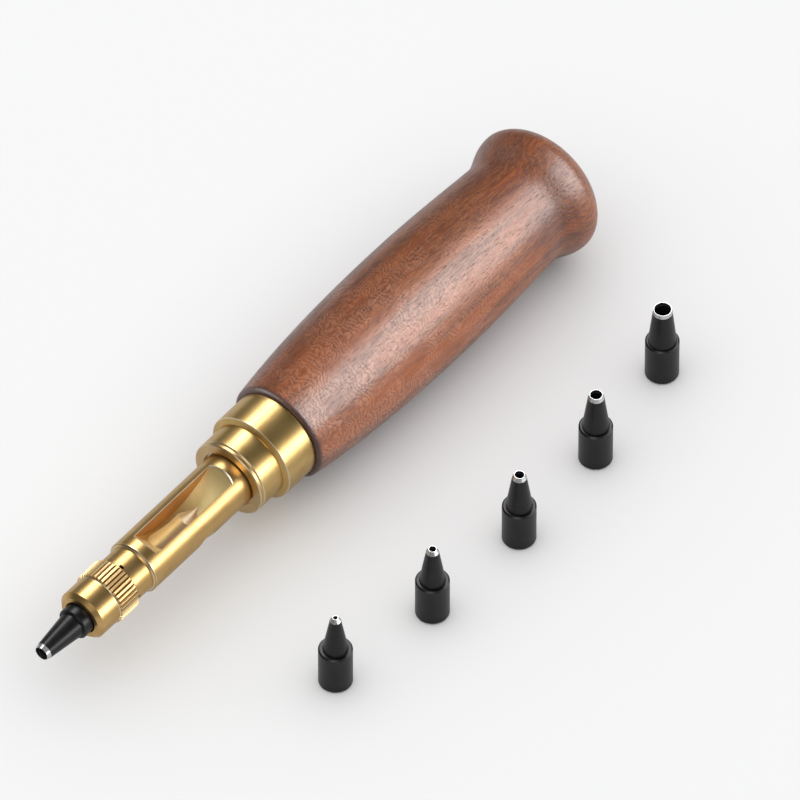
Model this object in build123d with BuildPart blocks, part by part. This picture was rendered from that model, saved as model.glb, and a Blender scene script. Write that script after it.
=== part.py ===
from build123d import *
from math import cos, radians, sin, tan
import os

# Automatic leather and paper punch: a turned wooden handle, a brass ferrule and collar, a brass
# spindle that slides back into the handle and turns as it goes, a split collet with its chuck
# nut, a hollow punch tip in the chuck and five spare tips that stand beside the tool.
# The tool lies along X, cutting edge at the -X end, and +Z is up. All sizes are millimetres.
# Every "..._at" value is a distance along the tool, counted from the cutting edge.

# ---------------------------------------------------------------- punch tips
tip_body_diameter = 7.0
tip_body_length = 10.1
tip_cone_length = 9.5
tip_cone_base_diameter = 5.0        # of a tip with no bore, at the shoulder
tip_cone_base_growth = 0.25         # extra diameter for each millimetre of punch size
tip_bevel_length = 0.9              # the ground cutting bevel
tip_bevel_base_diameter = 1.6       # of a tip with no bore, behind the bevel
tip_bevel_base_growth = 0.7         # extra diameter for each millimetre of punch size
tip_edge_land = 0.07                # wall left at the cutting edge
tip_cut_bore_length = 4.5           # straight bore behind the edge, before the wider one
tip_relief_step = 0.25              # how much larger the relief bore's radius is
tip_relief_taper = 0.5
tip_shoulder_chamfer = 0.3
tip_base_chamfer = 0.4
mounted_size = 3.0
spare_sizes = [1.0, 1.5, 2.0, 2.5, 3.5]
spare_pitch = 26.0                  # between spares, along the tool
spare_row_offset = 47.0             # from the tool's axis to the middle spare
spare_row_bow = 5.0                 # how much nearer the axis the outer spares stand
spare_row_middle_at = 93.0          # where the middle spare stands along the tool

# ---------------------------------------------------------------- chuck nut and collet
tip_standout = 2.5                  # tip body left showing in front of the nut
nut_length = 11.6
nut_nose_length = 5.8
nut_wall = 0.67                     # nose's outside, outward from the thread
nut_nose_chamfer = 0.9
nut_mouth_gap = 0.25                # around the tip body, in the nut's mouth
nut_mouth_length = 1.4
knurl_step = 0.45                   # how far the knurled part stands out from the nose
knurl_depth = 0.42
knurl_width = 0.72
knurl_count = 40
knurl_chamfer = 0.5
collet_wall = 1.3                   # jaws, outward from the tip's socket
collet_thread_gap = 0.08            # radial, between the nut and the collet
collet_nose_setback = 0.4           # collet's front face behind the mouth's end
collet_cone_gap = 0.2
collet_slit_width = 1.1
collet_slit_showing = 0.7           # length of slit left showing behind the nut
tip_socket_gap = 0.05               # radial, around the tip body
tip_seat_gap = 0.1                  # behind the tip
neck_step = 0.45                    # how far the neck stands out from the collet's thread
neck_length = 4.7
neck_gap = 0.15                     # between the nut's back and the neck
spigot_diameter = 7.8
spigot_length = 3.1

# ---------------------------------------------------------------- spindle
spindle_diameter = 12.0
spindle_showing = 30.1              # in front of the guide bush, at rest
spindle_edge_chamfer = 0.4
cut_edge_chamfer = 0.15             # broken edge round the window and the bar hole
waste_bore_diameter = 4.8
waste_bore_length = 17.2            # from the spindle's front to the drill's shoulder
waste_bore_point = 3.4
window_turn = 9.0                   # degrees that the window leans from straight up, towards -Y
window_behind_front = 15.1          # middle of the window, from the spindle's front
window_width = 6.0
window_cutter_radius = 14.4
window_floor_depth = 1.0            # lowest point of the window, below the axis
bar_hole_diameter = 4.4
bar_hole_behind_front = 16.7
bar_hole_turn = 110.0               # degrees round from the window
bar_hole_depth = 2.6
stroke = 18.0
head_step = 0.75                    # how far the head stands out from the spindle
head_length = 3.0
head_gap = 0.1                      # between the head and the buffer washer
rod_bore_diameter = 6.8
rod_bore_wall = 6.0                 # solid spindle left between the window and the rod bore
rod_end_room = 6.2                  # rod bore left in front of the rod at full stroke

# ---------------------------------------------------------------- twisted drive
twist_lead = 72.0                   # millimetres of slide for one full turn
rod_width = 5.5
rod_thickness = 2.2
rod_shank_diameter = 6.0
rod_clearance = 0.12                # all round the rod, in the drive nut
rod_lead_in = 6.0                   # rod in front of the drive nut, at rest
drive_nut_diameter = 10.0
drive_nut_length = 8.0
drive_pin_diameter = 1.5
drive_pin_bite = 1.0                # how deep the pin enters the drive nut
seat_step = 0.6                     # how far the spring seat stands out from the spindle
seat_bore_diameter = 6.6
seat_thickness = 1.2
spring_wire_diameter = 1.0
spring_mean_diameter = 9.4
spring_turns = 9
spring_pressed_length = 18.6        # between the two spring seats at full stroke
spring_end_gap = 0.05
plug_length = 6.0
rod_pin_diameter = 2.0
rod_end_setback = 0.5
pin_end_setback = 0.5

# ---------------------------------------------------------------- bush, collar and ferrule
bush_gap = 0.05                     # radial, around the spindle
bush_wall = 0.95
bush_flange_length = 1.0
bush_mouth_step = 0.5               # how much wider the bush's mouth is than the spindle
bush_mouth_depth = 0.8
collar_wall = 1.6                   # outward from the bush
collar_showing = 6.7                # bush flange and collar together
collar_edge_chamfer = 0.2
collar_groove_chamfer = 0.25        # the two chamfers that meet as a fine groove
collar_spigot_wall = 0.8
collar_spigot_length = 7.4
buffer_thickness = 1.0
buffer_gap = 0.2                    # radial, around the spindle
ferrule_step = 1.4                  # how far the ferrule stands out from the collar
ferrule_length = 8.7
ferrule_face_land = 0.15            # flat left beside the collar before the face slopes
ferrule_face_slope = 0.6
ferrule_rear_chamfer = 0.2
barrel_gap = 0.3                    # radial, around the spindle's head
sleeve_wall = 0.95

# ---------------------------------------------------------------- handle
handle_length = 90.4
handle_front_step = 1.05            # how far the wood stands out from the ferrule
handle_front_round = 0.9
handle_front_slope = 0.145          # rise of the outline just behind the ferrule
belly_diameter = 27.4
belly_behind_front = 43.6
waist_diameter = 25.0
waist_before_butt = 16.3
waist_slope = -0.06                 # fall of the outline as it reaches the waist
knob_diameter = 29.4
knob_before_butt = 7.7
bore_end_gap = 0.4

# ---------------------------------------------------------------- places along the tool
tip_length = tip_cone_length + tip_body_length
nut_front_at = tip_cone_length + tip_standout
knurl_front_at = nut_front_at + nut_nose_length
nut_rear_at = nut_front_at + nut_length
spindle_front_at = nut_rear_at + neck_length
bush_front_at = spindle_front_at + spindle_showing
collar_front_at = bush_front_at + bush_flange_length
ferrule_front_at = bush_front_at + collar_showing
handle_front_at = ferrule_front_at + ferrule_length
stop_at = ferrule_front_at + collar_spigot_length
head_front_at = stop_at + buffer_thickness + head_gap
window_middle_at = spindle_front_at + window_behind_front
window_half_length = (window_cutter_radius ** 2
                      - (window_cutter_radius - window_floor_depth - spindle_diameter / 2) ** 2) ** 0.5
rod_bore_front_at = window_middle_at + window_half_length + rod_bore_wall
rod_front_at = rod_bore_front_at + rod_end_room + stroke
drive_nut_front_at = rod_front_at + rod_lead_in
spindle_rear_at = drive_nut_front_at + drive_nut_length
spring_front_at = spindle_rear_at + seat_thickness
spring_rear_at = spring_front_at + spring_pressed_length + stroke
plug_front_at = spring_rear_at + seat_thickness
plug_rear_at = plug_front_at + plug_length
overall_length = handle_front_at + handle_length

# ---------------------------------------------------------------- radii that pieces share
tip_body_radius = tip_body_diameter / 2
mouth_radius = tip_body_radius + nut_mouth_gap
socket_radius = tip_body_radius + tip_socket_gap
thread_radius = socket_radius + collet_wall
nut_bore_radius = thread_radius + collet_thread_gap
nose_radius = nut_bore_radius + nut_wall
knurl_radius = nose_radius + knurl_step
neck_radius = thread_radius + neck_step
spigot_radius = spigot_diameter / 2
waste_radius = waste_bore_diameter / 2
spindle_radius = spindle_diameter / 2
head_radius = spindle_radius + head_step
seat_radius = spindle_radius + seat_step
bush_bore_radius = spindle_radius + bush_gap
bush_mouth_radius = spindle_radius + bush_mouth_step
bush_radius = bush_bore_radius + bush_wall
collar_radius = bush_radius + collar_wall
collar_spigot_radius = bush_radius + collar_spigot_wall
ferrule_radius = collar_radius + ferrule_step
barrel_radius = head_radius + barrel_gap
sleeve_radius = barrel_radius + sleeve_wall
handle_front_radius = ferrule_radius + handle_front_step
drive_nut_radius = drive_nut_diameter / 2
rod_shank_radius = rod_shank_diameter / 2
knob_radius = knob_diameter / 2

# The origin is the middle of the layout's underside, so the tool's axis is knob_radius above it.
tip_x = -overall_length / 2
axis_y = (spare_row_offset + tip_body_radius - knob_radius) / 2
axis_z = knob_radius

tool_axis = Axis((tip_x, axis_y, axis_z), (1, 0, 0))
side_view = Plane(origin=(tip_x, axis_y, axis_z), x_dir=(1, 0, 0), z_dir=(0, -1, 0))


def cross_plane(distance):
    """Plane across the tool at a distance from the cutting edge, facing the butt."""
    return Plane(origin=(tip_x + distance, axis_y, axis_z), x_dir=(0, 1, 0), z_dir=(1, 0, 0))


def radial_plane(distance, turn, radius):
    """Plane square to a radius of the tool, turned from straight up towards -Y."""
    outward = (0, -sin(radians(turn)), cos(radians(turn)))
    centre = (tip_x + distance, axis_y + outward[1] * radius, axis_z + outward[2] * radius)
    return Plane(origin=centre, x_dir=(1, 0, 0), z_dir=outward)


def turned(outline, plane=side_view):
    """Solid turned from an outline of (distance along the axis, radius) points."""
    with BuildPart() as piece:
        with BuildSketch(plane):
            with BuildLine():
                Polyline(*outline, close=True)
            make_face()
        revolve(axis=Axis(plane.origin, plane.x_dir))
    return piece


def ring(front, length, inner_radius, outer_radius):
    """Plain ring on the tool's axis."""
    return turned([
        (front, inner_radius),
        (front, outer_radius),
        (front + length, outer_radius),
        (front + length, inner_radius),
    ])


def write(piece, name):
    """Label a finished piece and write its STEP file."""
    piece.part.label = name
    export_step(piece.part, f"parts/{name}.step")


os.makedirs("parts", exist_ok=True)


# ---------------------------------------------------------------- handle
# Turned hardwood, bored from the front for the ferrule's sleeve.
bore_end_at = plug_rear_at + bore_end_gap
front_corner = (handle_front_at, handle_front_radius)
belly = (handle_front_at + belly_behind_front, belly_diameter / 2)
waist = (overall_length - waist_before_butt, waist_diameter / 2)
knob = (overall_length - knob_before_butt, knob_radius)
butt = (overall_length, 0)
along = (1, 0)

with BuildPart() as handle:
    with BuildSketch(side_view):
        with BuildLine():
            Polyline(butt, (bore_end_at, 0), (bore_end_at, sleeve_radius),
                     (handle_front_at, sleeve_radius), front_corner)
            Spline(front_corner, belly, tangents=[(1, handle_front_slope), along])
            Spline(belly, waist, tangents=[along, (1, waist_slope)])
            Spline(waist, knob, tangents=[(1, waist_slope), along])
            EllipticalCenterArc((knob[0], 0), knob_before_butt, knob_radius,
                                start_angle=0, arc_size=90)
        make_face()
    revolve(axis=tool_axis)
    front_edges = handle.edges().filter_by(GeomType.CIRCLE).group_by(Axis.X)[0]
    fillet(front_edges.sort_by(SortBy.RADIUS)[-1], radius=handle_front_round)
write(handle, "handle")

# ---------------------------------------------------------------- ferrule
# A brass ferrule, turned in one piece with the long sleeve that is fixed in the handle.
ferrule_sleeve = turned([
    (ferrule_front_at, collar_spigot_radius),
    (ferrule_front_at, collar_radius + ferrule_face_land),
    (ferrule_front_at + ferrule_face_slope, ferrule_radius),
    (handle_front_at - ferrule_rear_chamfer, ferrule_radius),
    (handle_front_at, ferrule_radius - ferrule_rear_chamfer),
    (handle_front_at, sleeve_radius),
    (plug_rear_at, sleeve_radius),
    (plug_rear_at, barrel_radius),
    (stop_at, barrel_radius),
    (stop_at, collar_spigot_radius),
])
write(ferrule_sleeve, "ferrule_sleeve")

# ---------------------------------------------------------------- collar and guide bush
# The collar screws into the ferrule and holds the bush that the spindle runs in. The bush's
# flange has the collar's diameter, and their two chamfers meet as a fine groove.
collar = turned([
    (collar_front_at, bush_radius),
    (collar_front_at, collar_radius - collar_groove_chamfer),
    (collar_front_at + collar_groove_chamfer, collar_radius),
    (ferrule_front_at, collar_radius),
    (ferrule_front_at, collar_spigot_radius),
    (stop_at, collar_spigot_radius),
    (stop_at, bush_radius),
])
write(collar, "collar")

guide_bush = turned([
    (bush_front_at, bush_mouth_radius),
    (bush_front_at, collar_radius - collar_edge_chamfer),
    (bush_front_at + collar_edge_chamfer, collar_radius),
    (collar_front_at - collar_groove_chamfer, collar_radius),
    (collar_front_at, collar_radius - collar_groove_chamfer),
    (collar_front_at, bush_radius),
    (stop_at, bush_radius),
    (stop_at, bush_bore_radius),
    (bush_front_at + bush_mouth_depth, bush_bore_radius),
    (bush_front_at + bush_mouth_depth, bush_mouth_radius),
])
write(guide_bush, "guide_bush")

# Fibre washer behind the bush, which the spindle's head returns against.
write(ring(stop_at, buffer_thickness, spindle_radius + buffer_gap, barrel_radius),
      "buffer_washer")

# ---------------------------------------------------------------- spindle
# Brass bar with the window, the waste bore in front, the rod bore behind and the drive nut's seat
# at the rear. Its head stops it from leaving the bush.
waste_shoulder_at = spindle_front_at + waste_bore_length
window_plane = Plane(origin=cross_plane(window_middle_at).origin, x_dir=(1, 0, 0),
                     z_dir=(0, -cos(radians(window_turn)), -sin(radians(window_turn))))
bar_hole_plane = radial_plane(spindle_front_at + bar_hole_behind_front,
                              window_turn + bar_hole_turn, spindle_radius - bar_hole_depth)
drive_pin_floor_radius = drive_nut_radius - drive_pin_bite
drive_pin_plane = radial_plane(spindle_rear_at - drive_nut_length / 2, window_turn,
                               drive_pin_floor_radius)



def on_spindle_surface(edge):
    """Whether an edge lies on the spindle's outer surface."""
    middle = edge @ 0.5
    return abs(((middle.Y - axis_y) ** 2 + (middle.Z - axis_z) ** 2) ** 0.5 - spindle_radius) < 0.001


with BuildPart() as spindle:
    with BuildSketch(side_view):
        with BuildLine():
            Polyline(
                (spindle_front_at, spigot_radius),
                (spindle_front_at, spindle_radius - spindle_edge_chamfer),
                (spindle_front_at + spindle_edge_chamfer, spindle_radius),
                (head_front_at, spindle_radius),
                (head_front_at, head_radius),
                (head_front_at + head_length, head_radius),
                (head_front_at + head_length, spindle_radius),
                (spindle_rear_at, spindle_radius),
                (spindle_rear_at, drive_nut_radius),
                (drive_nut_front_at, drive_nut_radius),
                (drive_nut_front_at, rod_bore_diameter / 2),
                (rod_bore_front_at, rod_bore_diameter / 2),
                (rod_bore_front_at, 0),
                (waste_shoulder_at + waste_bore_point, 0),
                (waste_shoulder_at, waste_radius),
                (spindle_front_at + spigot_length, waste_radius),
                (spindle_front_at + spigot_length, spigot_radius),
                close=True,
            )
        make_face()
    revolve(axis=tool_axis)
    with BuildSketch(window_plane):
        with Locations((0, window_cutter_radius - window_floor_depth)):
            Circle(window_cutter_radius)
    extrude(amount=window_width / 2, both=True, mode=Mode.SUBTRACT)
    chamfer(spindle.edges(Select.LAST).filter_by(on_spindle_surface), cut_edge_chamfer)
    with BuildSketch(bar_hole_plane):
        Circle(bar_hole_diameter / 2)
    extrude(amount=spindle_radius, mode=Mode.SUBTRACT)
    chamfer(spindle.edges(Select.LAST).filter_by(on_spindle_surface), cut_edge_chamfer)
    with BuildSketch(drive_pin_plane):
        Circle(drive_pin_diameter / 2)
    extrude(amount=spindle_radius, mode=Mode.SUBTRACT)
write(spindle, "spindle")

# ---------------------------------------------------------------- collet
# Split collet: its spigot screws into the spindle, and four jaws close on the tip's body.
mouth_end_at = nut_front_at + nut_mouth_length
collet_front_at = mouth_end_at + collet_nose_setback
collet_nose_radius = mouth_radius + collet_nose_setback - collet_cone_gap
neck_front_at = nut_rear_at + neck_gap

with BuildPart() as collet:
    with BuildSketch(side_view):
        with BuildLine():
            Polyline(
                (collet_front_at, socket_radius),
                (collet_front_at, collet_nose_radius),
                (collet_front_at + thread_radius - collet_nose_radius, thread_radius),
                (neck_front_at, thread_radius),
                (neck_front_at, neck_radius),
                (spindle_front_at, neck_radius),
                (spindle_front_at, spigot_radius),
                (spindle_front_at + spigot_length, spigot_radius),
                (spindle_front_at + spigot_length, waste_radius),
                (tip_length + tip_seat_gap, waste_radius),
                (tip_length + tip_seat_gap, socket_radius),
                close=True,
            )
        make_face()
    revolve(axis=tool_axis)
    with BuildSketch(cross_plane(collet_front_at)):
        for slit_turn in (window_turn, window_turn + 90):
            with Locations(Rotation(0, 0, slit_turn)):
                Rectangle(collet_slit_width, spindle_diameter)
    extrude(amount=nut_rear_at + collet_slit_showing - collet_front_at, mode=Mode.SUBTRACT)
write(collet, "collet")

# ---------------------------------------------------------------- chuck nut
# Its inner cone closes the collet's jaws as it is screwed on. The rear half is straight knurled.
with BuildPart() as chuck_nut:
    with BuildSketch(side_view):
        with BuildLine():
            Polyline(
                (nut_front_at, mouth_radius),
                (nut_front_at, nose_radius - nut_nose_chamfer),
                (nut_front_at + nut_nose_chamfer, nose_radius),
                (knurl_front_at, nose_radius),
                (knurl_front_at + knurl_chamfer, knurl_radius),
                (nut_rear_at - knurl_chamfer, knurl_radius),
                (nut_rear_at, knurl_radius - knurl_chamfer),
                (nut_rear_at, nut_bore_radius),
                (mouth_end_at + nut_bore_radius - mouth_radius, nut_bore_radius),
                (mouth_end_at, mouth_radius),
                close=True,
            )
        make_face()
    revolve(axis=tool_axis)
    with BuildSketch(cross_plane(knurl_front_at)):
        with PolarLocations(knurl_radius - knurl_depth, knurl_count):
            Polygon((0, 0), (knurl_depth, knurl_width / 2), (2 * knurl_depth, knurl_width / 2),
                    (2 * knurl_depth, -knurl_width / 2), (knurl_depth, -knurl_width / 2),
                    align=None)
    extrude(amount=nut_rear_at - knurl_front_at, mode=Mode.SUBTRACT)
write(chuck_nut, "chuck_nut")


# ---------------------------------------------------------------- punch tips
def punch_tip(size, plane):
    """Hollow hardened tip: ground cutting edge, cone, shoulder and a plain body for the collet."""
    bore_radius = size / 2
    relief_radius = bore_radius + tip_relief_step
    cone_base_radius = (tip_cone_base_diameter + tip_cone_base_growth * size) / 2
    bevel_base_radius = (tip_bevel_base_diameter + tip_bevel_base_growth * size) / 2
    return turned([
        (0, bore_radius),
        (0, bore_radius + tip_edge_land),
        (tip_bevel_length, bevel_base_radius),
        (tip_cone_length, cone_base_radius),
        (tip_cone_length, tip_body_radius - tip_shoulder_chamfer),
        (tip_cone_length + tip_shoulder_chamfer, tip_body_radius),
        (tip_length - tip_base_chamfer, tip_body_radius),
        (tip_length, tip_body_radius - tip_base_chamfer),
        (tip_length, relief_radius),
        (tip_cut_bore_length + tip_relief_taper, relief_radius),
        (tip_cut_bore_length, bore_radius),
    ], plane)


def size_words(size):
    """Punch size as part of a file name, such as 2_5."""
    return str(size).replace(".", "_")


write(punch_tip(mounted_size, side_view), f"punch_tip_{size_words(mounted_size)}")

row_half_steps = (len(spare_sizes) - 1) / 2
for place, spare_size in enumerate(spare_sizes):
    steps_from_middle = place - row_half_steps
    spare_x = tip_x + spare_row_middle_at + steps_from_middle * spare_pitch
    spare_y = axis_y - spare_row_offset + spare_row_bow * (steps_from_middle / row_half_steps) ** 2
    upright = Plane(origin=(spare_x, spare_y, tip_length),
                    x_dir=(0, 0, -1), z_dir=(0, -1, 0))
    write(punch_tip(spare_size, upright), f"spare_tip_{size_words(spare_size)}")


# ---------------------------------------------------------------- twisted drive
# A flat bar, twisted through a full turn in each twist_lead, stands in the handle. The drive nut
# slides along it, so the spindle has to turn as it is pressed back.
def twisted_bar(front, rear, width, thickness):
    """Twisted flat bar between two places along the tool."""
    degrees_per_mm = 360 / twist_lead
    start_turn = window_turn + front * degrees_per_mm
    bar_section = cross_plane(front) * Rot(0, 0, start_turn) * Rectangle(width, thickness)
    return Solid.extrude_linear_with_rotation(
        bar_section.face(), center=cross_plane(front).origin,
        normal=(rear - front, 0, 0), angle=(rear - front) * degrees_per_mm)


rod_blade = twisted_bar(rod_front_at, spring_rear_at, rod_width, rod_thickness)
rod_hole = twisted_bar(drive_nut_front_at - drive_nut_length / 4,
                       spindle_rear_at + drive_nut_length / 4,
                       rod_width + 2 * rod_clearance, rod_thickness + 2 * rod_clearance)

with BuildPart() as drive_rod:
    add(rod_blade)
    with BuildSketch(cross_plane(spring_rear_at)):
        Circle(rod_shank_radius)
    extrude(amount=plug_rear_at - rod_end_setback - spring_rear_at)
    with BuildSketch(radial_plane(plug_front_at + plug_length / 2, 0, 0)):
        Circle(rod_pin_diameter / 2)
    extrude(amount=barrel_radius, both=True, mode=Mode.SUBTRACT)
write(drive_rod, "drive_rod")

with BuildPart() as drive_nut:
    with BuildSketch(cross_plane(drive_nut_front_at)):
        Circle(drive_nut_radius)
    extrude(amount=drive_nut_length)
    add(rod_hole, mode=Mode.SUBTRACT)
    with BuildSketch(drive_pin_plane):
        Circle(drive_pin_diameter / 2)
    extrude(amount=spindle_radius, mode=Mode.SUBTRACT)
write(drive_nut, "drive_nut")

# Short pin through the spindle's wall, which keeps the drive nut from turning or coming out.
with BuildPart() as drive_pin:
    with BuildSketch(drive_pin_plane):
        Circle(drive_pin_diameter / 2)
    extrude(amount=spindle_radius - pin_end_setback - drive_pin_floor_radius)
write(drive_pin, "drive_pin")

# ---------------------------------------------------------------- return spring and its seats
write(ring(spindle_rear_at, seat_thickness, seat_bore_diameter / 2, seat_radius), "spring_seat")
write(ring(spring_rear_at, seat_thickness, rod_shank_radius, barrel_radius), "rear_washer")

spring_start_at = spring_front_at + spring_wire_diameter / 2 + spring_end_gap
spring_height = (spring_rear_at - spring_front_at - spring_wire_diameter
                 - 2 * spring_end_gap)

with BuildPart() as return_spring:
    with BuildLine():
        coil = Helix(pitch=spring_height / spring_turns, height=spring_height,
                     radius=spring_mean_diameter / 2,
                     center=cross_plane(spring_start_at).origin, direction=(1, 0, 0))
    with BuildSketch(Plane(origin=coil @ 0, z_dir=coil % 0)):
        Circle(spring_wire_diameter / 2)
    sweep(path=coil, is_frenet=True)
write(return_spring, "return_spring")

# ---------------------------------------------------------------- end plug and its pin
# The plug closes the sleeve and carries the drive rod, held by a pin through both.
with BuildPart() as end_plug:
    with BuildSketch(cross_plane(plug_front_at)):
        Circle(barrel_radius)
        Circle(rod_shank_radius, mode=Mode.SUBTRACT)
    extrude(amount=plug_length)
    with BuildSketch(radial_plane(plug_front_at + plug_length / 2, 0, 0)):
        Circle(rod_pin_diameter / 2)
    extrude(amount=barrel_radius, both=True, mode=Mode.SUBTRACT)
write(end_plug, "end_plug")

with BuildPart() as rod_pin:
    with BuildSketch(radial_plane(plug_front_at + plug_length / 2, 0, 0)):
        Circle(rod_pin_diameter / 2)
    extrude(amount=barrel_radius - pin_end_setback, both=True)
write(rod_pin, "rod_pin")
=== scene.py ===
import math

import bpy
from mathutils import Matrix, Vector


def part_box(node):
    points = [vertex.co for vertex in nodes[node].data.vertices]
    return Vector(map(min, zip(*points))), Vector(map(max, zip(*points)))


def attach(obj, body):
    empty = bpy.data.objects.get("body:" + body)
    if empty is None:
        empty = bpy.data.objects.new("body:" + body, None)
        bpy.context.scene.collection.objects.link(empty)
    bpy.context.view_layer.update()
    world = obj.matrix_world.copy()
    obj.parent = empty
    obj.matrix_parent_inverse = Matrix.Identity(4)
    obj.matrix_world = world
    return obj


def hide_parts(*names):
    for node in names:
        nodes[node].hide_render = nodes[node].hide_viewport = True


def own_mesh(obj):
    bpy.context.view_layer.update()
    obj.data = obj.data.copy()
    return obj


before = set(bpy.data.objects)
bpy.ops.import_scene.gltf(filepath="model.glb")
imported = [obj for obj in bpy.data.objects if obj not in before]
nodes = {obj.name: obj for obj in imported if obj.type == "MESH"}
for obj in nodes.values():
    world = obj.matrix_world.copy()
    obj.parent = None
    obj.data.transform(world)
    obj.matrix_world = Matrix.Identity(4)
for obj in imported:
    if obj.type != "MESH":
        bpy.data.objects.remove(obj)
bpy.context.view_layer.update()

# ---------------------------------------------------------------- handle
# One piece of close-grained reddish hardwood, turned between centres, bored from the front for
# the ferrule's sleeve, stained and varnished to a satin. Its front corner is rounded and dark.
mm = 0.001
handle_low, handle_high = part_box("handle")
axis_y = (handle_low.y + handle_high.y) / 2
axis_z = (handle_low.z + handle_high.z) / 2


class Channel:
    """One output in a shader tree. Arithmetic on it adds Math nodes, node() adds any other."""

    def __init__(self, socket):
        self.socket = socket

    def node(self, kind, settings, sockets, output=0):
        """A node with its settings first, then its sockets as numbers, colours or channels."""
        tree = self.socket.id_data
        made = tree.nodes.new("ShaderNode" + kind)
        for name, value in settings.items():
            setattr(made, name, value)
        for name, value in sockets.items():
            if isinstance(value, Channel):
                tree.links.new(value.socket, made.inputs[name])
            else:
                made.inputs[name].default_value = value
        return Channel(made.outputs[output])

    def maths(self, operation, first, second=0.0):
        return self.node("Math", {"operation": operation}, {0: first, 1: second})

    def __add__(self, other):
        return self.maths("ADD", self, other)

    __radd__ = __add__

    def __sub__(self, other):
        return self.maths("SUBTRACT", self, other)

    def __rsub__(self, other):
        return self.maths("SUBTRACT", other, self)

    def __mul__(self, other):
        return self.maths("MULTIPLY", self, other)

    __rmul__ = __mul__

    def wave(self, period):
        """0 to 1 and back in each period."""
        return self.maths("SINE", self * (2 * math.pi / period)) * 0.5 + 0.5

    def rise(self, start, end):
        """0 before start, 1 after end, smooth between them."""
        return self.node("MapRange", {"interpolation_type": "SMOOTHSTEP"},
                         {"Value": self, "From Min": start, "From Max": end})

    def colour(self, without, with_all):
        """Colour that goes from the first to the second as this mask goes from 0 to 1."""
        return self.node("Mix", {"data_type": "RGBA"},
                         {0: self, 6: (*without, 1) if isinstance(without, tuple) else without,
                          7: (*with_all, 1) if isinstance(with_all, tuple) else with_all}, 2)

    def scaled(self, x, y, z):
        """This place stretched by a factor on each axis."""
        return self.node("VectorMath", {"operation": "MULTIPLY"}, {0: self, 1: (x, y, z)})

    def noise(self, detail=2.0, roughness=0.5):
        return self.node("TexNoise", {}, {"Vector": self, "Scale": 1.0, "Detail": detail,
                                          "Roughness": roughness})

    def bump(self, distance):
        return self.node("Bump", {}, {"Height": self, "Distance": distance})


def start_finish(name, centre):
    """New material and the place on its piece, in millimetres from a centre."""
    finish = bpy.data.materials.new(name)
    finish.use_nodes = True
    shader = Channel(finish.node_tree.nodes["Principled BSDF"].outputs[0])
    return finish, shader.node("Mapping", {}, {
        "Vector": shader.node("TexCoord", {}, {}, "Object"),
        "Location": tuple(-part / mm for part in centre),
        "Scale": (1 / mm, 1 / mm, 1 / mm),
    })


def along_tool(place):
    """Distance from the centre toward the butt."""
    return place.node("SeparateXYZ", {}, {"Vector": place}, "X")


def end_finish(finish, varying, constant):
    """Feeds what varies into the material's shader and sets what is the same all over."""
    shader = finish.node_tree.nodes["Principled BSDF"]
    for name, channel in varying.items():
        finish.node_tree.links.new(channel.socket, shader.inputs[name])
    for name, value in constant.items():
        shader.inputs[name].default_value = value


def dress(names, finish):
    """Gives CAD nodes their finish."""
    for name in names:
        for material_slot in nodes[name].material_slots:
            material_slot.material = finish


wood, place = start_finish("varnished_wood", (handle_low.x, axis_y, axis_z))
along = along_tool(place)
fine_ripple = place.scaled(0.55, 1.0, 1.0).noise(3.0, 0.6)
drift = place.scaled(0.02, 0.09, 0.09).noise(2.0, 0.5)

# The heart of the tree lies beside and below the handle, so its rings cross the top as long
# bands and show as ovals where the knob cuts through them.
pith_y, pith_z = 17.8, -33.5
ring_period = 0.62
broad_ring_period = ring_period * 5.3
from_pith = place.node("VectorMath", {"operation": "LENGTH"}, {
    0: place.node("Mapping", {}, {
        "Vector": place,
        "Location": (0, -pith_y, -pith_z),
        "Scale": (0, 1, 1),
    }),
}, 1)
ring_depth = from_pith + along * 0.012 + drift * 5.0 + fine_ripple * 0.9
rings = ring_depth.wave(ring_period)
broad_rings = ring_depth.wave(broad_ring_period)
knob_from, knob_to = 60, 74
ring_show = along.rise(knob_from, knob_to) * 0.30 + 0.22

# Fibres and pores run along the wood, and short curls cross it, mostly in its front half.
streaks = place.scaled(0.016, 0.28, 0.28).noise(3.0, 0.55).rise(0.42, 0.62)
pores = place.scaled(0.5, 3.1, 3.1).noise(2.0, 0.6).rise(0.56, 0.74)
fibres = place.scaled(0.35, 2.2, 2.2).noise(4.0, 0.7)
pale_fibres = fibres.rise(0.38, 0.66)
curl_period = 1.15
curls_from, curls_to = 20, 78
curl_warp = place.scaled(0.20, 0.26, 0.26).noise(3.0, 0.55)
curl_patches = place.scaled(0.11, 0.2, 0.2).noise(2.0).rise(0.35, 0.6)
curls = ((along + curl_warp * 9.0 + fine_ripple * 0.8).wave(curl_period)
         * ((1 - along.rise(curls_from, curls_to) * 0.75) * curl_patches))

# Painted dark reflection: patches of the hollow before the knob are darkened. The front corner
# beside the ferrule is coloured near black in a wandering band.
hollow_start, hollow_end = 66, 81
hollow_painted_reflection = (along.rise(hollow_start, hollow_start + 7)
          * (1 - along.rise(hollow_end - 6, hollow_end)) * drift.rise(0.40, 0.60))
corner_dark_to, corner_clear_from = 1.1, 2.3
corner_wander = place.scaled(0.5, 0.5, 0.5).noise(3.0, 0.6)
front_corner = 1 - (along + corner_wander * 1.6).rise(corner_dark_to, corner_clear_from)

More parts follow.
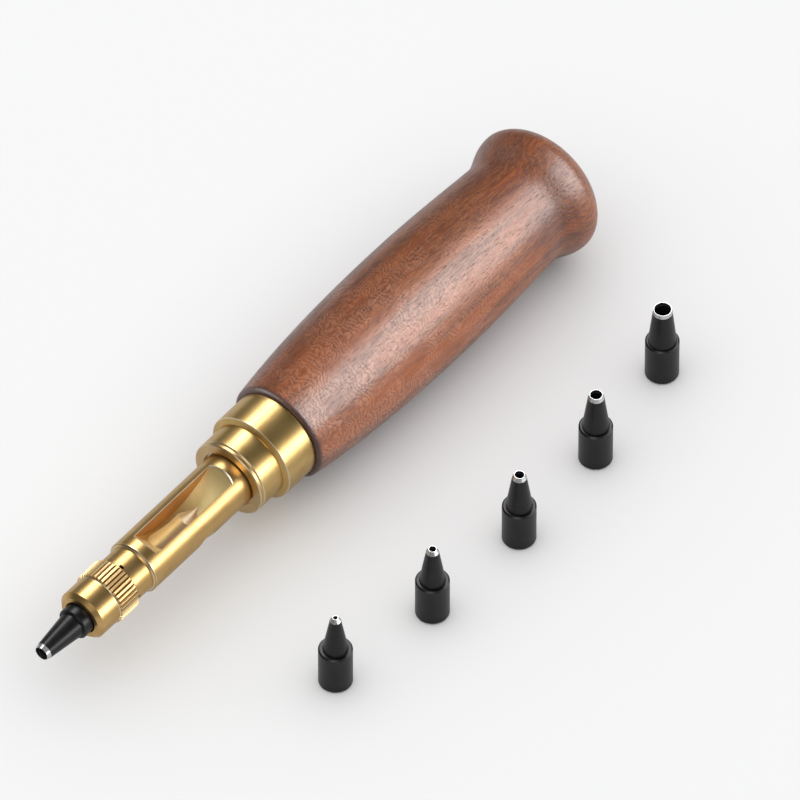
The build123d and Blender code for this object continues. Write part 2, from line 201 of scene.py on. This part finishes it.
dark_fibre, light_fibre = (0.10, 0.029, 0.009), (0.222, 0.075, 0.024)
red_stain = (0.27, 0.068, 0.012)
ring_brown = (0.10, 0.026, 0.016)
curl_tan = (0.44, 0.19, 0.11)
pore_and_reflection_black = (0.045, 0.015, 0.011)
corner_black = (0.045, 0.018, 0.014)
brown = pale_fibres.colour(dark_fibre, light_fibre)
stained = (streaks * 0.7).colour(brown, red_stain)
ringed = (rings * ring_show + broad_rings * 0.18).colour(stained, ring_brown)
curled = (curls * 0.35).colour(ringed, curl_tan)
# Pores darken toward near black, and so does the painted dark reflection in the hollow.
pores_and_painted_reflection = (pores * 0.6 + hollow_painted_reflection * 0.35).colour(curled, pore_and_reflection_black)
wood_relief = rings * 0.3 + curls * 1.1 + fine_ripple * 0.8 + fibres * 0.9 - pores * 0.9
end_finish(wood, {
    "Base Color": (front_corner * 0.85).colour(pores_and_painted_reflection, corner_black),
    "Roughness": 0.44 + rings * 0.05 + pores * 0.12,
    "Coat Weight": 0.66 + pale_fibres * 0.28 + curls * 0.3 - pores * 0.4,
    "Normal": wood_relief.bump(0.05 * mm),
}, {
    "Coat Roughness": 0.34,
})
dress(["handle"], wood)

# ---------------------------------------------------------------- ferrule and collar
# Turned brass, polished with fine abrasive on the lathe, so that a faint line runs round each
# piece; a painted highlight, a thin bright line, lies along its corners. The ferrule's long
# sleeve is glued into the handle, the collar goes in front of it, and the guide bush lines the
# collar for the spindle to slide in.
brass_deep, brass_pale = (0.60, 0.375, 0.135), (0.71, 0.465, 0.185)
speck_brown = (0.42, 0.25, 0.075)
edge_highlight_cream = (0.84, 0.72, 0.50)


def off_axis(place):
    """Distance from the tool's axis."""
    return place.node("VectorMath", {"operation": "LENGTH"}, {0: place.scaled(0, 1, 1)}, 1)


def turned_body(place, deep, pale):
    """Colour, roughness and relief of brass turned about the tool's axis."""
    tool_lines = place.node("TexNoise", {"noise_dimensions": "1D"}, {
        "W": along_tool(place) + off_axis(place) * 0.7,
        "Scale": 7.0,
        "Detail": 3.0,
    })
    clouds = place.scaled(0.16, 0.3, 0.3).noise(3.0, 0.55)
    specks = place.scaled(1.9, 1.9, 1.9).noise(2.0, 0.5).rise(0.63, 0.8)
    body = clouds.rise(0.3, 0.7).colour(deep, pale)
    spotted = (specks * 0.25).colour(body, speck_brown)
    return spotted, 0.27 + tool_lines * 0.09 + specks * 0.06, tool_lines.bump(0.0035 * mm)


def painted_edge_highlights(place, colour, corners):
    """The colour with a painted highlight, a thin bright line, wherever a corner runs round the
    piece.
    """
    for corner in corners:
        from_corner = place.maths("ABSOLUTE", along_tool(place) - corner)
        colour = (1 - from_corner.rise(0.05, 0.13)).colour(colour, edge_highlight_cream)
    return colour


def turned_brass(name, node, corners, deep=brass_deep, pale=brass_pale):
    """Satin brass for a turned piece, with painted highlights at its corners, given from its own
    front in millimetres.
    """
    brass, place = start_finish(name, (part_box(node)[0].x, axis_y, axis_z))
    colour, roughness, relief = turned_body(place, deep, pale)
    end_finish(brass, {
        "Base Color": painted_edge_highlights(place, colour, corners),
        "Roughness": roughness,
        "Normal": relief,
    }, {"Metallic": 1.0})
    return brass


ferrule_showing = (handle_low.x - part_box("ferrule_sleeve")[0].x) / mm
green_deep, green_pale = (0.60, 0.395, 0.14), (0.71, 0.485, 0.195)
ferrule_brass = turned_brass("ferrule_brass", "ferrule_sleeve", [0.6, ferrule_showing - 0.1],
                             green_deep, green_pale)
dress(["ferrule_sleeve"], ferrule_brass)
dress(["collar"], turned_brass("collar_brass", "collar", [0.2], green_deep, green_pale))
dress(["guide_bush"], turned_brass("bush_brass", "guide_bush", [0.1, 0.8]))

# ---------------------------------------------------------------- spindle
# Brass bar with a pocket milled across it, through which the punched discs fall out. The cutter
# left the pocket rougher than the turned outside, and it is coloured paler as a painted
# highlight; its rim was broken with a file and carries a painted highlight.
spindle_brass, place = start_finish("spindle_brass", (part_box("spindle")[0].x, axis_y, axis_z))
colour, roughness, relief = turned_body(place, brass_deep, brass_pale)
along = along_tool(place)
radius = off_axis(place)
turned_radius = 6.0
pocket_start, pocket_end = 1.5, 29.5
in_pocket = (along.rise(pocket_start, pocket_start + 0.5)
             * (1 - along.rise(pocket_end - 0.5, pocket_end)))
# Painted highlight: a thin bright band along the pocket's rim.
rim = (1 - radius.rise(turned_radius - 0.03, turned_radius - 0.01)) * in_pocket
milled = (1 - radius.rise(turned_radius - 0.28, turned_radius - 0.24)) * in_pocket

# The waste hole was drilled from the front, and its pointed end shows in the pocket's floor,
# painted paler still as a painted highlight.
drill_radius = 2.4
drill_shoulder = 17.2
drill_slope = 0.706
past_shoulder = place.maths("MAXIMUM", along - drill_shoulder)
drilled = 1 - (radius + past_shoulder * drill_slope).rise(drill_radius + 0.02,
                                                         drill_radius + 0.10)

# Painted shade: the pocket's far side wall, told by the way it faces, is darker than the cutter's
# sweep.
pocket_turn = math.radians(9)
facing = place.node("TexCoord", {}, {}, "Normal")
to_side = facing.node("VectorMath", {"operation": "DOT_PRODUCT"}, {
    0: facing,
    1: (0, -math.cos(pocket_turn), -math.sin(pocket_turn)),
}, 1)
shaded_side_wall = to_side.rise(0.9, 0.95) * (1 - drilled)
lit_swept_brass, lit_drilled_brass = (0.84, 0.69, 0.34), (0.90, 0.76, 0.56)
shaded_wall_brass = (0.60, 0.30, 0.115)
rim_highlight = (0.90, 0.82, 0.62)
pocket = shaded_side_wall.colour(drilled.colour(lit_swept_brass, lit_drilled_brass), shaded_wall_brass)
outside = rim.colour(painted_edge_highlights(place, colour, [0.06, 0.5]), rim_highlight)
end_finish(spindle_brass, {
    "Base Color": milled.colour(outside, pocket),
    "Roughness": roughness + milled * 0.2,
    "Normal": relief,
}, {"Metallic": 1.0})
dress(["spindle"], spindle_brass)

# ---------------------------------------------------------------- collet and chuck nut
# The collet screws into the spindle and its four split jaws grip the tip's shank. The nut, bored
# to a cone inside and knurled outside, closes them as it is screwed on.
dress(["collet"], turned_brass("collet_brass", "collet", []))
nut_brass, place = start_finish("nut_brass", (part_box("chuck_nut")[0].x, axis_y, axis_z))
nut_deep, nut_pale = (0.62, 0.39, 0.14), (0.74, 0.49, 0.20)
colour, roughness, relief = turned_body(place, nut_deep, nut_pale)
along = along_tool(place)
radius = off_axis(place)
knurl_start, knurl_end = 5.9, 11.5
outer_side = radius.rise(4.6, 4.8)
knurled = (along.rise(knurl_start, knurl_start + 0.2)
           * (1 - along.rise(knurl_end - 0.2, knurl_end)) * outer_side)
# Painted shade darkens the knurl's grooves, and a painted highlight lightens its crests.
groove_radius, crest_radius = 5.66, 5.98
shaded_groove_brass, highlit_crest_brass = (0.38, 0.20, 0.06), (0.90, 0.67, 0.34)
crest = radius.rise(groove_radius, crest_radius)
knurl_shade_and_highlight = crest.colour(shaded_groove_brass, highlit_crest_brass)
knurl_shoulder = 5.85
end_finish(nut_brass, {
    "Base Color": knurled.colour(painted_edge_highlights(place, colour, [knurl_shoulder]), knurl_shade_and_highlight),
    "Roughness": roughness + knurled * crest * 0.16,
    "Normal": relief,
}, {"Metallic": 1.0})
dress(["chuck_nut"], nut_brass)

# ---------------------------------------------------------------- punch tips
# Hollow hardened steel tips, blackened all over in a hot bath and then ground bright on the
# cutting bevel. One is in the chuck and five other sizes stand beside the tool.
bevel_length = 0.9
oxide_dark, oxide_pale = (0.004, 0.004, 0.004), (0.009, 0.009, 0.010)
ground_steel = (0.70, 0.70, 0.70)


def blackened_tip(name, node, to_edge):
    """Black oxide with a bright ground bevel at the end that faces to_edge."""
    low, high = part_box(node)
    middle = (low + high) / 2
    edge = Vector(middle[axis] + to_edge[axis] * (high - low)[axis] / 2 for axis in range(3))
    black, place = start_finish(name, edge)
    behind_edge = place.node("VectorMath", {"operation": "DOT_PRODUCT"}, {
        0: place,
        1: tuple(-part for part in to_edge),
    }, 1)
    ground = 1 - behind_edge.rise(bevel_length - 0.06, bevel_length + 0.02)
    clouds = place.scaled(0.5, 0.5, 0.5).noise(3.0, 0.6)
    grit = place.scaled(6.0, 6.0, 6.0).noise(2.0, 0.6)
    oxide = clouds.rise(0.3, 0.75).colour(oxide_dark, oxide_pale)
    end_finish(black, {
        "Base Color": ground.colour(oxide, ground_steel),
        "Metallic": ground,
        "Roughness": 0.30 + clouds * 0.08 - ground * 0.04,
        "Normal": grit.bump(0.002 * mm),
    }, {"Specular IOR Level": 0.36})
    return black


tips = [name for name in nodes if "tip" in name]
for name in tips:
    to_edge = (0, 0, 1) if name.startswith("spare") else (-1, 0, 0)
    dress([name], blackened_tip(name + "_black", name, to_edge))

# ---------------------------------------------------------------- twisted drive
# Flat steel rod twisted hot, pinned into a brass plug in the sleeve's rear end. It runs through
# a slot in the brass nut that is pinned into the spindle, and turns the spindle as it is pressed.
steel, place = start_finish("bright_steel", (handle_low.x, axis_y, axis_z))
drawn = place.scaled(0.15, 2.4, 2.4).noise(3.0, 0.6)
end_finish(steel, {
    "Base Color": drawn.colour((0.42, 0.42, 0.41), (0.60, 0.60, 0.59)),
    "Roughness": 0.26 + drawn * 0.16,
    "Normal": drawn.bump(0.003 * mm),
}, {"Metallic": 1.0})
dress(["drive_rod", "rod_pin", "drive_pin"], steel)
dress(["drive_nut"], turned_brass("drive_nut_brass", "drive_nut", []))
dress(["end_plug"], turned_brass("end_plug_brass", "end_plug", []))

# ---------------------------------------------------------------- return spring
# Nine turns of drawn steel wire between two steel washers. The front one rides on the spindle,
# the rear one rests on the plug, and the spring closes by 18 mm at the end of the press.
spring_turns = 9
steps_in_turn = 28
wire_radius = 0.5 * mm
coil_radius = 4.7 * mm
spring_low, spring_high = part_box("return_spring")
pitch = (spring_high.x - spring_low.x - 2 * wire_radius) / spring_turns
bpy.ops.object.select_all(action="DESELECT")
bpy.ops.mesh.primitive_circle_add(vertices=12, radius=wire_radius, location=(0, 0, coil_radius),
                                  rotation=(math.radians(90), 0, 0))
spring = bpy.context.object
spring.name = "return_spring_coil"
bpy.ops.object.transform_apply(location=True, rotation=True, scale=True)
winding = spring.modifiers.new("winding", "SCREW")
winding.axis = "X"
winding.screw_offset = pitch
winding.iterations = spring_turns
winding.steps = steps_in_turn
winding.render_steps = steps_in_turn
winding.use_merge_vertices = False
bpy.ops.object.modifier_apply(modifier="winding")
bpy.ops.object.mode_set(mode="EDIT")
bpy.ops.mesh.select_all(action="SELECT")
bpy.ops.mesh.fill_holes(sides=0)
bpy.ops.mesh.select_all(action="SELECT")
bpy.ops.mesh.normals_make_consistent(inside=False)
bpy.ops.object.mode_set(mode="OBJECT")
spring.location = (spring_low.x + wire_radius, axis_y, axis_z)
bpy.ops.object.transform_apply(location=True, rotation=True, scale=True)
bpy.ops.object.shade_smooth_by_angle(angle=math.radians(40))
spring.data.materials.append(steel)
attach(spring, "handle_body")
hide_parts("return_spring")
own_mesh(spring)
dress(["spring_seat", "rear_washer"], steel)

# ---------------------------------------------------------------- buffer washer
# Red vulcanised fibre behind the guide bush, which takes the knock as the spring throws the
# spindle forward again.
fibre, place = start_finish("fibre", (handle_low.x, axis_y, axis_z))
strands = place.scaled(4.0, 1.5, 1.5).noise(4.0, 0.7)
end_finish(fibre, {
    "Base Color": strands.colour((0.20, 0.055, 0.035), (0.42, 0.16, 0.11)),
    "Roughness": 0.65 + strands * 0.2,
    "Normal": strands.bump(0.02 * mm),
}, {})
dress(["buffer_washer"], fibre)

# ---------------------------------------------------------------- studio
# A pale floor and soft boxes all round. Wood, metal and floor each have boxes of their own, so
# that long highlights lie along the brass without washing out the wood, and the camera stands
# above the tip's end with a long lens.
floor_width = 2.4
bpy.ops.object.select_all(action="DESELECT")
bpy.ops.mesh.primitive_plane_add(size=floor_width)
floor = bpy.context.object
floor.name = "studio_floor"
floor_paint, place = start_finish("pale_floor", (0, 0, 0))
in_view = place.node("LightPath", {}, {}, "Is Camera Ray")
mirrored_grey, seen_grey = (0.56, 0.56, 0.56), (0.82, 0.82, 0.82)
end_finish(floor_paint, {
    "Base Color": in_view.colour(mirrored_grey, seen_grey),
}, {"Roughness": 1.0, "Specular IOR Level": 0.0})
floor.data.materials.append(floor_paint)

handle_only = bpy.data.collections.new("handle_only")
handle_only.objects.link(nodes["handle"])
metal_only = bpy.data.collections.new("metal_only")
for name in nodes:
    if name != "handle":
        metal_only.objects.link(nodes[name])
metal_only.objects.link(spring)
floor_only = bpy.data.collections.new("floor_only")
floor_only.objects.link(floor)


def soft_box(name, direction, size, radiance, lit, distance=0.9):
    """Rectangular light that faces the object from a direction, its longer side along X."""
    light = bpy.data.lights.new(name, "AREA")
    light.shape = "RECTANGLE"
    light.size, light.size_y = size
    light.energy = radiance * math.pi * size[0] * size[1]
    box = bpy.data.objects.new(name, light)
    bpy.context.scene.collection.objects.link(box)
    backward = Vector(direction).normalized()
    side = Vector((1, 0, 0)) - backward * backward.x
    side.normalize()
    up = backward.cross(side)
    box.location = backward * distance
    box.rotation_euler = Matrix((side, up, backward)).transposed().to_euler()
    box.visible_camera = False
    box.light_linking.receiver_collection = lit


soft_box("metal_overhead_box", (0.42, 0.46, 0.74), (1.3, 0.34), 6.3, metal_only)
soft_box("metal_front_box", (0.45, -0.87, 0.24), (1.3, 0.32), 5.5, metal_only)
soft_box("metal_key_box", (-0.62, -0.30, 0.72), (0.5, 0.5), 3.2, metal_only)
soft_box("wood_box", (0.42, -0.62, 0.66), (1.2, 1.0), 5.6, handle_only)
soft_box("wood_back_box", (-0.60, 0.72, 0.36), (0.9, 0.5), 4.0, handle_only)
soft_box("floor_box", (0.05, 0.15, 0.98), (6.4, 6.4), 1.18, floor_only, 1.3)

world = bpy.data.worlds.new("studio_room")
bpy.context.scene.world = world
world.use_nodes = True
room_shader = world.node_tree.nodes["Background"]
room_shader.inputs["Color"].default_value = (0.95, 0.97, 1.0, 1)
room_shader.inputs["Strength"].default_value = 0.12
room = Channel(room_shader.outputs[0])
backdrop = room.node("Background", {}, {"Color": (0.94, 0.94, 0.94, 1)})
in_view = room.node("LightPath", {}, {}, "Is Camera Ray")
surroundings = room.node("MixShader", {}, {0: in_view, 1: room, 2: backdrop})
world.node_tree.links.new(surroundings.socket, world.node_tree.nodes["World Output"].inputs[0])

camera_lens = bpy.data.cameras.new("camera")
camera_lens.lens = 1000
camera_lens.sensor_width = 36
camera = bpy.data.objects.new("camera", camera_lens)
bpy.context.scene.collection.objects.link(camera)
azimuth, elevation, distance = math.radians(-50.8), math.radians(49.8), 4.47
to_camera = Vector((math.sin(azimuth) * math.cos(elevation),
                    -math.cos(azimuth) * math.cos(elevation), math.sin(elevation)))
looked_at = Vector((17.68, 7.25, 9.32)) * mm
camera.location = looked_at + to_camera * distance
camera.rotation_euler = (-to_camera).to_track_quat("-Z", "Y").to_euler()
bpy.context.scene.camera = camera
bpy.context.scene.view_settings.view_transform = "Standard"
